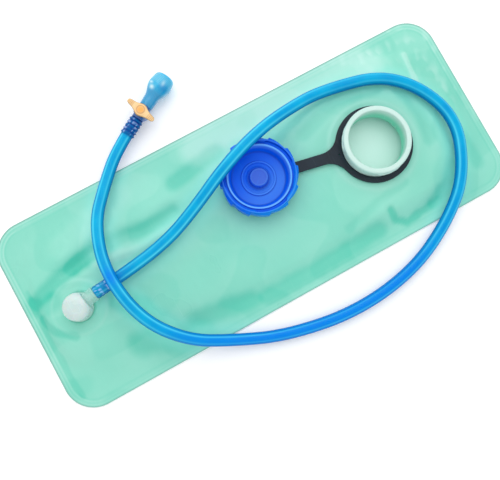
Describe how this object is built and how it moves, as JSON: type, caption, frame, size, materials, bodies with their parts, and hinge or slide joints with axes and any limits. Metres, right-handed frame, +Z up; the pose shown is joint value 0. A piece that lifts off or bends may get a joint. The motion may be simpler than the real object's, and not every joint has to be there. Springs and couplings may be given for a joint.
{
  "type": "hydration bladder",
  "caption": "Flat welded water bag with a tethered screw cap, a domed outlet elbow and a long drinking tube ending in a shut-off valve and bite valve.",
  "frame": {"origin": "on the floor under the middle of the bag", "axes": "+X along the bag from the outlet end to the filler end, +Z up from the back film"},
  "size_m": [0.392, 0.2568, 0.0468],
  "materials": {
    "film": "clear glossy TPU film, mint",
    "neck": "milky translucent moulding",
    "cap": "satin gloss moulding, royal blue",
    "gasket": "soft matt silicone",
    "tether": "matt charcoal elastomer",
    "port": "milky translucent moulding",
    "elbow": "white moulding",
    "clear_plastic": "clear moulding",
    "seal_rubber": "black nitrile",
    "tube": "translucent blue tube",
    "valve": "light blue moulding",
    "rotor": "white acetal",
    "lever": "satin yellow-orange moulding",
    "silicone": "translucent cyan silicone"
  },
  "bodies": {
    "bladder": {"back_film": "film", "front_film": "film", "filler_neck": "neck", "outlet_port": "port", "outlet_elbow": "elbow", "port_seal": "seal_rubber", "tube_connector": "clear_plastic", "connector_seal": "seal_rubber", "drinking_tube": "tube", "valve_body": "valve", "bite_valve": "silicone"},
    "tether_collar": {"tether_ring": "tether"},
    "tether_arm": {"tether_strap": "tether"},
    "cap": {"screw_cap": "cap", "cap_seal": "gasket", "cap_pin": "tether"},
    "shutoff": {"valve_rotor": "rotor", "upper_rotor_seal": "seal_rubber", "lower_rotor_seal": "seal_rubber", "shutoff_lever": "lever"}
  },
  "joints": [
    {"name": "tether_swivel", "type": "hinge", "parent": "bladder", "child": "tether_collar", "pos_m": [0.1055, -0.0011, 0.0111], "axis": [0, 0, 1], "range_deg": [0, 60]},
    {"name": "tether_flex", "type": "hinge", "parent": "tether_collar", "child": "tether_arm", "pos_m": [0.0582, 0.00844, 0.0257], "axis": [0.1977, 0.9803, 0], "range_deg": [0, 180], "deforming": ["drinking_tube"]},
    {"name": "cap_spin", "type": "hinge", "parent": "tether_arm", "child": "cap", "pos_m": [0.0109, 0.01797, 0.0127], "axis": [0, 0, 1], "continuous": true},
    {"name": "shutoff_turn", "type": "hinge", "parent": "bladder", "child": "shutoff", "pos_m": [-0.0438, 0.1082, 0.0094], "axis": [0, 0, 1], "range_deg": [0, 90]}
  ]
}
